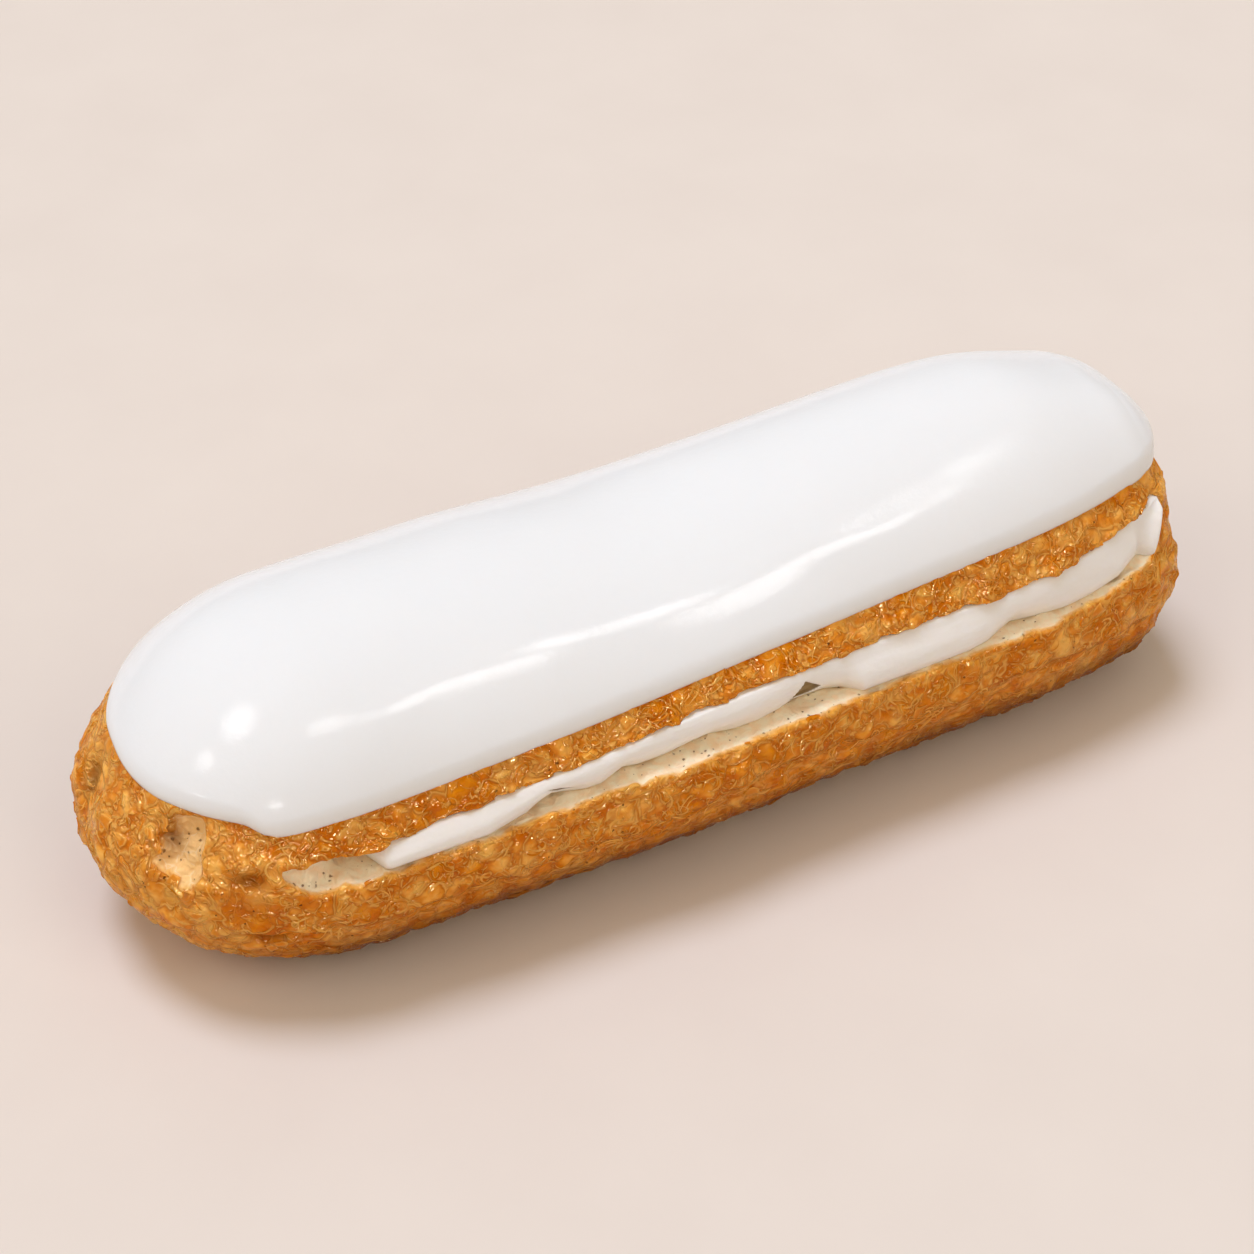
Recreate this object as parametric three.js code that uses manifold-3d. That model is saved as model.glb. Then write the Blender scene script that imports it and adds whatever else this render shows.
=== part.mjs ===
import * as THREE from 'three';
import { mergeVertices } from 'three/addons/utils/BufferGeometryUtils.js';
import Module from 'manifold-3d';

// A filled, iced eclair lying on its flat underside. X runs along it, the front is -Y, Z is up.
// Sizes are in millimetres. The origin is under the middle of the bun, on the plane it rests on.

const wasm = await Module();
wasm.setup();

// Places on X where the sizes that change along the bun are given
const places = [-62, -45, -20, 0, 20, 45, 60];

// Outside of the bun, with its widths and heights at those places
const bunLength = 135;
const widths = [46.1, 46.5, 48.5, 48.7, 45.8, 43.2, 37.3];
const heights = [35.1, 36.1, 35.6, 34.6, 36.8, 39.0, 36.2];
const leftEndLength = 26.4;
const rightEndLength = 10.5;
const leftEndRoundness = 2.07;
const rightEndRoundness = 2.43;
const widestHeight = 14;
const sideways = 1.2;
const middleY = 0.11;
const upperRoundness = 2.15;
const lowerRoundness = 2.4;
const flattening = 1.4;

// Heights of the seams between crust, filling and icing at those places
const icingEdgeHeights = [25.6, 25.2, 26.2, 27.0, 28.2, 30.1, 30.3];
const lidEdgeHeights = [21.2, 20.8, 22.5, 23.7, 24.2, 25.0, 26.9];
const baseRimHeights = [17.4, 17.9, 18.8, 19.1, 19.2, 19.5, 21.2];
const creaseHeights = [11.9, 12.8, 12.6, 14.0, 13.5, 13.5, 13.7];

// How far the crust lies inside the bun's full outline
const underIcingDepth = 1.9;
const lidDepth = 0.9;
const lowerBandDepth = 0.8;
const rightCurl = 0.95;
const rightFoot = 0.2;
const backFullness = 0.5;
const crustRelief = 0.38;

// The icing's sagging edge: a lobe that runs down at the front left corner, steeper on its left
const lobePlace = new THREE.Vector2(-52.4, -18.0);
const lobeDrop = 0.95;
const lobeRadius = 5;
const lobeSteepRadius = 1.9;
const edgeBead = 1.9;
const icingSwell = 0.55;

// The slit that the filling shows in. It closes at the right, where the base's rim rises to the lid.
const slitStart = -52.2;
const slitTaper = 2.5;
const slitEndOpening = 0.7;
const rimRiseStart = 57.8;
const rimRiseEnd = 61.6;
const slitEnd = 60.9;
const slitReach = 34;

// The filling in the slit
const creamStart = -51.5;
const creamEnd = 60.1;
const creamInset = 2.7;
const creamInsetWave = 1.0;
const creamRoundness = 4;
const gap = 0.3;

// Torn place and dent in the crust at the left end
const tear = { centre: [-61.9, -13.3, 21.2], radii: [3.7, 3.5, 4.6] };
const dent = { centre: [-66.5, 1.3, 20.5], radii: [3, 2.4, 5.5], depth: 1.3 };

// Fineness of the meshes
const bunFacets = { cap: 12, round: 56, along: 34 };
const creamFacets = { cap: 6, round: 20, along: 32 };
const icingFacets = { cap: 8, round: 30, along: 26 };
const slitFacets = { along: 40, across: 8 };

const leftEnd = -(bunLength / 2 - leftEndLength);
const rightEnd = bunLength / 2 - rightEndLength;

// A height at any x from the heights at the named places, as a smooth curve through them
function along(values, x) {
  const last = places.length - 1;
  const place = THREE.MathUtils.clamp(x, places[0], places[last]);
  let i = 0;
  while (i < last - 1 && place > places[i + 1]) i += 1;
  const slope = (k) => {
    const before = Math.max(k - 1, 0);
    const after = Math.min(k + 1, last);
    return (values[after] - values[before]) / (places[after] - places[before]);
  };
  const span = places[i + 1] - places[i];
  const t = (place - places[i]) / span;
  const rise = values[i + 1] - values[i];
  const a = slope(i) * span - rise;
  const b = -slope(i + 1) * span + rise;
  return values[i] + t * rise + t * (1 - t) * ((1 - t) * a + t * b);
}

// Rounded lumps between -1 and 1, about three sizes apart
function lumps(p, size) {
  const x = p.x / size;
  const y = p.y / size;
  const z = p.z / size;
  const first = Math.sin(1.9 * x + 1.7 * Math.sin(1.3 * y + 0.7 * z));
  const second = Math.sin(2.3 * y + 1.4 * Math.sin(1.1 * z + 0.8 * x) + 2);
  const third = Math.sin(2.1 * z + 1.5 * Math.sin(1.7 * x + 1.2 * y) + 4);
  return (first + second + third) / 3;
}

// The bun bends a little: its ends lie further forward than its middle
function bow(x) {
  return middleY - sideways * (x / (bunLength / 2)) ** 2;
}

// How much of its full section the bun still has at x: 1 between the ends, 0 at the tips
function fullness(x) {
  const past = x < leftEnd ? (leftEnd - x) / leftEndLength : Math.max(x - rightEnd, 0) / rightEndLength;
  const roundness = x < leftEnd ? leftEndRoundness : rightEndRoundness;
  return Math.max(1 - past ** roundness, 0) ** (1 / roundness);
}

// Half the bun's width at x and at height z above its widest line
function halfWidthAt(x, z) {
  const rise = (z - widestHeight) / (along(heights, x) - widestHeight);
  const left = fullness(x) ** upperRoundness - Math.max(rise, 0) ** upperRoundness;
  return along(widths, x) / 2 * Math.max(left, 0) ** (1 / upperRoundness);
}

function icingEdge(x, y) {
  const radius = x < lobePlace.x ? lobeSteepRadius : lobeRadius;
  const away = Math.hypot(x - lobePlace.x, y - lobePlace.y) / radius;
  return along(icingEdgeHeights, x) - lobeDrop * Math.exp(-away * away);
}

// The point of the bun's full outline on the section at x, in a direction round that section
function outlinePoint(x, direction, scale) {
  const c = Math.cos(direction);
  const s = Math.sin(direction);
  const roundness = s > 0 ? upperRoundness : lowerRoundness;
  const reach = scale / (Math.abs(c) ** roundness + Math.abs(s) ** roundness) ** (1 / roundness);
  const rise = s > 0 ? along(heights, x) - widestHeight : widestHeight + flattening;
  return new THREE.Vector3(x, bow(x) + along(widths, x) / 2 * c * reach, widestHeight + rise * s * reach);
}

// The direction in which the bun's skin grows, away from the line along its middle
function outward(p) {
  const middle = THREE.MathUtils.clamp(p.x, leftEnd, rightEnd);
  return new THREE.Vector3(p.x - middle, p.y - bow(p.x), p.z - widestHeight).normalize();
}

// How deep the crust lies inside the full outline: deepest under the icing, level at the base
function crustDepth(p) {
  const below = icingEdge(p.x, p.y) - p.z;
  const step = THREE.MathUtils.smoothstep;
  let depth = underIcingDepth - (underIcingDepth - lidDepth) * step(below, -3, 0.5);
  depth -= lidDepth * step(below, 2, 8);
  const crease = along(creaseHeights, p.x) + 0.6 * Math.sin(p.x / 5);
  const upright = step(p.z, 0, 4);
  depth += lowerBandDepth * upright * (1 - step(p.z, crease - 1.5, crease + 0.5));
  const curl = rightCurl * step(p.z, 17, 22) * (1 - step(p.z, 24, 26.5));
  const foot = rightFoot * step(p.z, 9, 13) * (1 - step(p.z, 17, 20));
  depth += (curl + foot) * step(p.x, 54, 62);
  depth -= backFullness * step(-p.x, 54, 61) * step(p.y, 1, 7) * step(p.z, 12, 18);
  const open = upright * step(below, 0.5, 3);
  const bent = p.clone().addScalar(4 * lumps(p, 8));
  depth -= open * crustRelief * (lumps(bent, 3.1) + 0.6 * lumps(bent, 1.7));
  const [dx, dy, dz] = dent.centre.map((c, k) => (p.getComponent(k) - c) / dent.radii[k]);
  depth += dent.depth * Math.exp(-(dx * dx + dy * dy + dz * dz));
  return depth;
}

function crustPoint(x, direction, scale) {
  const p = outlinePoint(x, direction, scale);
  p.addScaledVector(outward(p), -crustDepth(p));
  p.z = Math.max(p.z, 0);
  return p;
}

// A capsule geometry whose rings are laid at x with a section of our own and ends of our own roundness
function shapedCapsule(facets, span, place) {
  const height = 2;
  const leftPower = 2 / leftEndRoundness;
  const rightPower = 2 / rightEndRoundness;
  const geometry = new THREE.CapsuleGeometry(1, height, facets.cap, facets.round, facets.along);
  geometry.deleteAttribute('normal');
  geometry.deleteAttribute('uv');
  const position = geometry.attributes.position;
  for (let i = 0; i < position.count; i += 1) {
    const axial = position.getY(i);
    const side = Math.max(Math.abs(axial) - height / 2, 0);
    let x = THREE.MathUtils.mapLinear(axial, -height / 2, height / 2, span.left, span.right);
    if (axial < -height / 2) x = span.left - side ** leftPower * (span.left - span.leftTip);
    if (axial > height / 2) x = span.right + side ** rightPower * (span.rightTip - span.right);
    const round = Math.min(Math.hypot(position.getX(i), position.getZ(i)), 1);
    const direction = round > 1e-6 ? Math.atan2(position.getZ(i), -position.getX(i)) : 0;
    const p = place(x, direction, round ** (axial < 0 ? leftPower : rightPower));
    position.setXYZ(i, p.x, p.y, p.z);
  }
  return mergeVertices(geometry, 1e-4);
}

function toSolid(geometry) {
  const vertProperties = new Float32Array(geometry.attributes.position.array);
  const triVerts = new Uint32Array(geometry.index.array);
  const solid = new wasm.Manifold(new wasm.Mesh({ numProp: 3, vertProperties, triVerts }));
  return solid;
}

function toGeometry(solid) {
  const mesh = solid.getMesh();
  const geometry = new THREE.BufferGeometry();
  geometry.setAttribute('position', new THREE.BufferAttribute(mesh.vertProperties, 3));
  geometry.setIndex(new THREE.BufferAttribute(mesh.triVerts, 1));
  return geometry;
}

// The bun before it is slit; facets are closest together on its sides
function bun() {
  const span = { leftTip: -bunLength / 2, left: leftEnd, right: rightEnd, rightTip: bunLength / 2 };
  const gather = 0.18;
  const place = (x, direction, round) => {
    return crustPoint(x, direction - gather * Math.sin(2 * direction), round);
  };
  return shapedCapsule(bunFacets, span, place);
}

// The slit's cut faces at x: the base's rim and the lid's edge, which near each other at both ends
function slitHeights(x) {
  const step = THREE.MathUtils.smoothstep;
  const low = along(baseRimHeights, x);
  const high = along(lidEdgeHeights, x);
  const opened = slitEndOpening + (1 - slitEndOpening) * step(x, slitStart, slitStart + slitTaper);
  const open = opened * (1 - step(x, rimRiseStart, rimRiseEnd));
  return { low: high - (high - low) * open, high };
}

// A slab between the two cut faces, wider than the bun and as long as the slit
function slit() {
  const length = slitEnd - slitStart;
  const box = new THREE.BoxGeometry(length, 2 * slitReach, 1, slitFacets.along, slitFacets.across, 1);
  box.deleteAttribute('normal');
  box.deleteAttribute('uv');
  const position = box.attributes.position;
  for (let i = 0; i < position.count; i += 1) {
    const x = position.getX(i) + length / 2 + slitStart;
    const cut = slitHeights(x);
    position.setXYZ(i, x, position.getY(i), position.getZ(i) > 0 ? cut.high : cut.low);
  }
  return mergeVertices(box, 1e-4);
}

function tornHole() {
  const ball = new THREE.IcosahedronGeometry(1, 4);
  ball.deleteAttribute('normal');
  ball.deleteAttribute('uv');
  const position = ball.attributes.position;
  const p = new THREE.Vector3();
  for (let i = 0; i < position.count; i += 1) {
    p.fromBufferAttribute(position, i);
    p.multiplyScalar(1 + 0.18 * lumps(p, 0.5));
    p.multiply(new THREE.Vector3(...tear.radii));
    p.add(new THREE.Vector3(...tear.centre));
    position.setXYZ(i, p.x, p.y, p.z);
  }
  return mergeVertices(ball, 1e-4);
}

function choux() {
  const whole = toSolid(bun());
  const opened = whole.subtract(toSolid(slit()));
  return toGeometry(opened.subtract(toSolid(tornHole())));
}

// Half the filling's width at x: inside the rim of the base by an uneven inset
function creamHalfWidth(x, side) {
  const wave = Math.sin(x / 3.4 + 0.8 * side) + 0.6 * Math.sin(x / 7.3 + 2 * side);
  const inset = creamInset + creamInsetWave * wave / 1.6;
  return halfWidthAt(Math.min(x, rightEnd), along(baseRimHeights, x)) - inset;
}

function cream() {
  const span = { leftTip: creamStart, left: creamStart + 9, right: creamEnd - 6, rightTip: creamEnd };
  const place = (x, direction, round) => {
    const c = Math.cos(direction);
    const s = Math.sin(direction);
    const reach = (Math.abs(c) ** creamRoundness + Math.abs(s) ** creamRoundness) ** (-1 / creamRoundness);
    const cut = slitHeights(x);
    const middle = (cut.low + cut.high) / 2;
    const half = (cut.high - cut.low) / 2 - gap;
    const y = bow(x) + creamHalfWidth(x, Math.sign(c)) * c * reach * round;
    return new THREE.Vector3(x, y, middle + half * s * reach * round ** 0.35);
  };
  return shapedCapsule(creamFacets, span, place);
}

// The x at which the bun's end is as low as the icing's edge
function icingTip(endX, endLength, side) {
  const tipX = side * (bunLength / 2);
  const roundness = side < 0 ? leftEndRoundness : rightEndRoundness;
  const rise = (icingEdge(tipX, 0) - widestHeight) / (along(heights, tipX) - widestHeight);
  return endX + side * endLength * (1 - rise ** roundness) ** (1 / roundness);
}

function icing() {
  const span = {
    leftTip: icingTip(leftEnd, leftEndLength, -1),
    left: leftEnd - 4,
    right: rightEnd + 3,
    rightTip: icingTip(rightEnd, rightEndLength, 1),
  };
  const place = (x, direction, round) => {
    const side = Math.cos(direction);
    const edgeY = halfWidthAt(x, along(icingEdgeHeights, x));
    const lowEdge = icingEdge(x, bow(x) + Math.sign(side) * edgeY);
    const half = round > 1e-6 ? halfWidthAt(x, lowEdge) : 0;
    const y = half * side;
    const inside = fullness(x) ** upperRoundness - Math.abs(y / (along(widths, x) / 2)) ** upperRoundness;
    const rise = (along(heights, x) - widestHeight) * Math.max(inside, 0) ** (1 / upperRoundness);
    const p = new THREE.Vector3(x, bow(x) + y, widestHeight + rise);
    const depth = crustDepth(p);
    const fromEdge = THREE.MathUtils.clamp((p.z - icingEdge(p.x, p.y)) / edgeBead, 0, 1);
    const bead = Math.sqrt(1 - (1 - fromEdge) ** 2);
    const step = THREE.MathUtils.smoothstep;
    const swell = icingSwell * step(p.x, 46, 62) * step(bow(p.x) - p.y, -1, 7) * step(fromEdge, 0, 1);
    const thickness = Math.sin(direction) > 1e-6 ? gap + (depth - gap) * bead + swell : gap;
    return p.addScaledVector(outward(p), thickness - depth);
  };
  return shapedCapsule(icingFacets, span, place);
}

function piece(name, geometry, color, roughness) {
  const material = new THREE.MeshStandardMaterial({ color, roughness, metalness: 0 });
  geometry.computeVertexNormals();
  const mesh = new THREE.Mesh(geometry, material);
  mesh.name = name;
  return mesh;
}

const eclair = new THREE.Group();
eclair.add(piece('choux', choux(), 0xc98a3d, 0.65));
eclair.add(piece('cream', cream(), 0xf4f0e8, 0.45));
eclair.add(piece('icing', icing(), 0xf6f5f6, 0.2));

export default eclair;
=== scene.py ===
"""Looks of a filled, iced eclair: browned choux, cream and icing around the fixed frame.

Shapes are worked out in millimetres with +Z up, the front facing -Y, and written to Blender in metres.
"""

import math

import bpy
import numpy as np
from mathutils import Matrix, Vector
from mathutils.bvhtree import BVHTree


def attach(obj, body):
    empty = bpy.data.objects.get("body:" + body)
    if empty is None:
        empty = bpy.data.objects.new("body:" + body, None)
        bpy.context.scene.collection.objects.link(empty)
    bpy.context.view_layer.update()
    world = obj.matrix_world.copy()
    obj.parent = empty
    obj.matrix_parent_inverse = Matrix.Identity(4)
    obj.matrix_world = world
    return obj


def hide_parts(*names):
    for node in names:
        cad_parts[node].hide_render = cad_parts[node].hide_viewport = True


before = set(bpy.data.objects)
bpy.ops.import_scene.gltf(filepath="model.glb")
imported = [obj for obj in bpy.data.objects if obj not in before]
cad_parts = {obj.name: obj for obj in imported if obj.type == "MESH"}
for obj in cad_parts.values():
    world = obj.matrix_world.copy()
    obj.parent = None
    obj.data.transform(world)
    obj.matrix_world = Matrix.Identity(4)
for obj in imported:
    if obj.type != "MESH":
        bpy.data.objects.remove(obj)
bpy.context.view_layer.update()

MM = 0.001

# Places on X where the sizes that change along the bun are given
PLACES = np.array([-62.0, -45.0, -20.0, 0.0, 20.0, 45.0, 60.0])

# Outside of the bun, with its widths and heights at those places
BUN_LENGTH = 135.0
WIDTHS = [46.1, 46.5, 48.5, 48.7, 45.8, 43.2, 37.3]
HEIGHTS = [35.1, 36.1, 35.6, 34.6, 36.8, 39.0, 36.2]
LEFT_END_LENGTH = 26.4
RIGHT_END_LENGTH = 10.5
LEFT_END_ROUNDNESS = 2.07
RIGHT_END_ROUNDNESS = 2.43
WIDEST_HEIGHT = 14.0
SIDEWAYS = 1.2
MIDDLE_Y = 0.11
UPPER_ROUNDNESS = 2.15
LOWER_ROUNDNESS = 2.4
FLATTENING = 1.4
LEFT_END = -(BUN_LENGTH / 2 - LEFT_END_LENGTH)
RIGHT_END = BUN_LENGTH / 2 - RIGHT_END_LENGTH

# Heights of the seams between crust, filling and icing at those places
ICING_EDGE_HEIGHTS = [25.6, 25.2, 26.2, 27.0, 28.2, 30.1, 30.3]
LID_EDGE_HEIGHTS = [21.2, 20.8, 22.5, 23.7, 24.2, 25.0, 26.9]
BASE_RIM_HEIGHTS = [17.4, 17.9, 18.8, 19.1, 19.2, 19.5, 21.2]
CREASE_HEIGHTS = [11.9, 12.8, 12.6, 14.0, 13.5, 13.5, 13.7]

# How far the crust lies inside the bun's full outline, and its relief
UNDER_ICING_DEPTH = 1.9
LID_DEPTH = 0.9
LOWER_BAND_DEPTH = 0.8
RIGHT_CURL = 0.95
RIGHT_FOOT = 0.2
BACK_FULLNESS = 0.5
CRUST_RELIEF = 0.38

# The icing's edge, with a lobe that runs down at the front left corner, steeper on its left, then
# its rounded border, its relief, how far it goes below the crust, and the fold along its front
LOBE_PLACE = (-52.4, -18.0)
LOBE_DROP = 0.95
LOBE_RADIUS = 5.0
LOBE_STEEP_RADIUS = 1.9
LEFT_LIFT = 0.25
EDGE_BEAD = 1.9
ICING_SWELL = 0.55
ICING_SUNK = -0.35
ICING_WAVE = 0.06
ICING_FOLD_PLACES = [-40.0, -31.0, -16.0, -4.0, 12.0, 25.0]
ICING_FOLD_Y = [-15.4, -12.9, -12.8, -12.4, -11.6, -13.2]
ICING_FOLD_WIDTH = 1.9
ICING_FOLD_RISE = 0.1

# The slit that the filling shows in. It closes at the right, where the base's rim rises to the lid.
SLIT_START = -52.2
SLIT_TAPER = 3.5
SLIT_END_OPENING = 0.4
RIM_RISE_START = 57.8
RIM_RISE_END = 61.6
SLIT_END = 60.9

# Torn place in the crust at the left end: its centre, and its jagged outline round that centre,
# rightwards and upwards along the crust
TEAR_CENTRE = (-61.3, -13.0, 20.5)
TEAR_OUTLINE = ((-1.5, 4.6), (2.3, 5.4), (2.9, 3.5), (3.1, 1.2), (3.5, -0.6), (3.0, -2.5), (1.8, -3.1),
                (0.2, -2.2), (-1.8, -2.1), (-3.4, -0.9), (-1.9, 0.4), (-3.0, 1.3), (-1.6, 2.6))
TEAR_DEPTH = 1.9

# Marks in the crust, each with its centre, radii and depth. The ridge rises.
DENT = ((-66.5, 1.3, 20.5), (3.0, 2.4, 5.5), 1.3)
FOLD = ((-65.4, 3.1, 20.2), (2.5, 0.8, 2.8), 1.2)
CRACK = ((-54.1, -19.7, 11.4), (1.7, 1.9, 0.55), 1.2)
SLOT = ((-55.4, -18.9, 19.7), (1.3, 1.4, 0.8), 1.3)
RIDGE = ((-55.0, -18.2, 21.6), (2.6, 2.6, 0.7), -0.5)

# Places that differ in colour alone, with centre and radii: painted shade on the torn place's deeper side,
# and a smooth plate
TEAR_SHADE = ((-60.6, -11.0, 21.8), (1.3, 1.4, 2.3))
SMOOTH_PLATE = ((-55.8, -18.9, 17.6), (3.2, 3.0, 2.8))

# The filling, and how far its lower edge lies inside the base's rim at some places along the front.
# The opening and the crease in its front are outlines in X and height, dented in and darkened with painted
# shade.
CREAM_START = -47.5
CREAM_END = 60.5
CREAM_TAPER = 6.0
RIBBON_BULGE = 1.0
DOLLOP_BULGE = 0.35
FRONT_INSET_PLACES = [-50, -45, -41, -30, -25, -22, -20, -18, -16, -13, -11, -8, -5, -2, 1, 4, 7, 9,
                      13, 15, 17, 24, 31, 34, 36, 38, 41, 45, 49, 53, 55, 57, 58.5, 60, 63]
FRONT_INSETS = [4.5, 3.8, 1.1, 0.9, 2.1, 3.8, 3.2, 2.5, 2.4, 3.7, 3.3, 3.3, 3.7, 3.9, 3.2, 3.1, 3.5, 4.1,
                3.8, 3.0, 1.1, 0.9, 1.1, 1.6, 2.5, 3.2, 2.6, 1.9, 1.7, 1.6, 2.2, 2.6, 0.6, 0.3, 0.9]
OPENING = ((9.8, 22.9), (12.0, 21.3), (10.6, 20.3), (7.8, 19.9))
CREASE_UNDER_RIBBON = ((-22.6, 21.5), (-21.0, 21.1), (-19.2, 20.2), (-21.3, 20.6))
OPENING_DEPTH = 0.5

# Camera
CAMERA_TARGET = (-0.92, 1.73, 18.0)
CAMERA_DISTANCE = 324.35
CAMERA_AZIMUTH = -27.0
CAMERA_ELEVATION = 40.0
FOCAL_PIXELS = 2800.0
IMAGE_PIXELS = 1254.0
SENSOR = 36.0

# Floor, and light from the room: dim from the front near the ground, paler from above and behind
FLOOR_HALF_SIZE = 3000.0
ROOM_FRONT = (0.155, 0.088, 0.04, 1.0)
ROOM_ABOVE = (0.55, 0.49, 0.39, 1.0)
ROOM_UPWARD = (-0.1, 0.35, 0.93)

# Soft distant lights without a highlight of their own: name, azimuth, elevation, softness,
# strength on level ground as a share of full daylight, and colour
WARM = (1.0, 0.9, 0.76)
SUNS = (
    ("key", -150, 74, 22, 0.42, (0.9, 1.0, 1.22)),
    ("fill_left", -80, 42, 40, 0.09, WARM),
    ("fill_front", 22, 40, 40, 0.13, WARM),
)

# Near lights that only give highlights: name, azimuth, elevation, distance and size in metres, and power
HIGHLIGHTS = (
    ("glint_a", -105, 61, 0.7, (0.2, 0.16), 0.27),
    ("glint_b", 4, 74, 0.7, (0.2, 0.1), 0.16),
    ("glint_c", -94, 44.5, 0.7, (0.12, 0.08), 0.085),
    ("glint_d", -79, 27, 0.7, (0.06, 0.02), 0.05),
    ("glint_e", -35, 34, 0.7, (0.08, 0.04), 0.07),
    ("streak_a", 81, 67, 0.9, (0.17, 0.13), 0.26),
    ("streak_b", 46, 67, 0.9, (0.17, 0.12), 0.24),
)

# Small distant lights that make the crust glitter: name, azimuth, elevation and energy
SPARKLES = (
    ("sparkle_left", -75, 40, 6.0),
    ("sparkle_front", -15, 28, 15.0),
    ("sparkle_above", -110, 62, 9.0),
)
SPARKLE_SOFTNESS = 3
SPARKLE_COLOUR = (1.0, 0.84, 0.5)

# Fineness of the choux mesh, its half width, and its lowest and highest level in steps
NET_STEP = 0.44
NET_HALF_WIDTH = 26.5
NET_LEVELS = (-4, 108)
CHOUX_TRIANGLES = 180000
DEEPEST_SHOWN = 4.8

# Sizes of the crust's pattern: its plates, the smaller ones between, the loops on some plates, and
# how strongly the pattern rises
PLATE = 2.7
SMALL_PLATE = 1.3
LOOP_GAP = 0.62
RELIEF_STRENGTH = 0.28

# Threads on the crust: name, count tried, steps, stride, width, height and seed of each set
THREADS = (
    ("crust_threads", 1500, 12, 0.33, 0.6, 0.17, 5),
    ("crust_fine_threads", 2000, 9, 0.28, 0.42, 0.13, 6),
)
THREADS_APART = 0.62
THREAD_SINK = 0.3

# Rings of points of a flake, from its middle on top to its middle underneath: share of its radius,
# drop and tone
FLAKE_CORNERS = 9
FLAKE_RINGS = ((0.0, 0.0, 0.2), (0.55, 0.0, 0.3), (1.0, 0.0, 0.7), (0.96, 0.1, 0.4), (0.0, 0.1, 0.1))

# Points nearer than these are joined
RING_WELD = 0.004
FLAKE_WELD = 0.0005

# Large numbers that mix the places of the grain's cells, and the size of its table
GRAIN_KEYS = (73856093, 19349663, 83492791)
GRAIN_TABLE = 4096


def srgb(red, green, blue):
    """Linear colour from screen values between 0 and 255."""
    values = []
    for value in (red, green, blue):
        v = value / 255
        values.append(v / 12.92 if v <= 0.04045 else ((v + 0.055) / 1.055) ** 2.4)
    return (*values, 1.0)


def unit(vectors):
    return vectors / np.maximum(np.linalg.norm(vectors, axis=-1, keepdims=True), 1e-9)


# Shape of the bun


def along(values, x):
    """Heights or widths at any x, as a smooth curve through the values at the named places."""
    v = np.asarray(values, float)
    x = np.clip(x, PLACES[0], PLACES[-1])
    last = len(PLACES) - 1
    i = np.clip(np.searchsorted(PLACES, x, side="right") - 1, 0, last - 1)
    before = np.maximum(np.arange(last + 1) - 1, 0)
    after = np.minimum(np.arange(last + 1) + 1, last)
    slope = (v[after] - v[before]) / (PLACES[after] - PLACES[before])
    span = PLACES[i + 1] - PLACES[i]
    t = (x - PLACES[i]) / span
    rise = v[i + 1] - v[i]
    a = slope[i] * span - rise
    b = -slope[i + 1] * span + rise
    return v[i] + t * rise + t * (1 - t) * ((1 - t) * a + t * b)


def smoothstep(value, low, high):
    t = np.clip((value - low) / (high - low), 0, 1)
    return t * t * (3 - 2 * t)


def lumps(x, y, z, size):
    """Rounded lumps between -1 and 1, about three sizes apart."""
    x, y, z = x / size, y / size, z / size
    first = np.sin(1.9 * x + 1.7 * np.sin(1.3 * y + 0.7 * z))
    second = np.sin(2.3 * y + 1.4 * np.sin(1.1 * z + 0.8 * x) + 2)
    third = np.sin(2.1 * z + 1.5 * np.sin(1.7 * x + 1.2 * y) + 4)
    return (first + second + third) / 3


def grain(x, y, z, size, seed):
    """Smooth random values between -1 and 1 that change over about one size."""
    table = np.random.default_rng(seed).uniform(-1, 1, GRAIN_TABLE).astype(np.float32)
    total = 0.0
    cells, parts = [], []
    for value in (x, y, z):
        v = np.asarray(value) / size
        cell = np.floor(v).astype(np.int64)
        t = (v - cell).astype(np.float32)
        cells.append(cell)
        parts.append(t * t * (3 - 2 * t))
    for corner in range(8):
        key = 0
        weight = 1.0
        for axis in range(3):
            further = corner >> axis & 1
            key = key ^ (cells[axis] + further) * GRAIN_KEYS[axis]
            weight = weight * (parts[axis] if further else 1 - parts[axis])
        total = total + weight * table[key & (GRAIN_TABLE - 1)]
    return total


def bow(x):
    """Y of the bun's middle line: its ends lie further forward than its middle."""
    return MIDDLE_Y - SIDEWAYS * (x / (BUN_LENGTH / 2)) ** 2


def past_end(x):
    """How far x is past the start of an end, as a share of that end's length."""
    left = (LEFT_END - x) / LEFT_END_LENGTH
    right = (x - RIGHT_END) / RIGHT_END_LENGTH
    return np.maximum(np.maximum(left, right), 0)


def end_roundness(x):
    return np.where(x < 0, LEFT_END_ROUNDNESS, RIGHT_END_ROUNDNESS)


def fullness(x):
    """How much of its full section the bun still has at x: 1 between the ends, 0 at the tips."""
    power = end_roundness(x)
    return np.maximum(1 - np.minimum(past_end(x), 1) ** power, 0) ** (1 / power)


def half_width_at(x, z):
    """Half the bun's width at x and at height z above its widest line."""
    rise = np.maximum((z - WIDEST_HEIGHT) / (along(HEIGHTS, x) - WIDEST_HEIGHT), 0)
    left = np.maximum(fullness(x) ** UPPER_ROUNDNESS - rise**UPPER_ROUNDNESS, 0)
    return along(WIDTHS, x) / 2 * left ** (1 / UPPER_ROUNDNESS)


def top_height(x, y):
    """Height of the bun's full outline over a point."""
    side = np.abs(y - bow(x)) / (along(WIDTHS, x) / 2)
    left = np.maximum(fullness(x) ** UPPER_ROUNDNESS - side**UPPER_ROUNDNESS, 0)
    return WIDEST_HEIGHT + (along(HEIGHTS, x) - WIDEST_HEIGHT) * left ** (1 / UPPER_ROUNDNESS)


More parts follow.
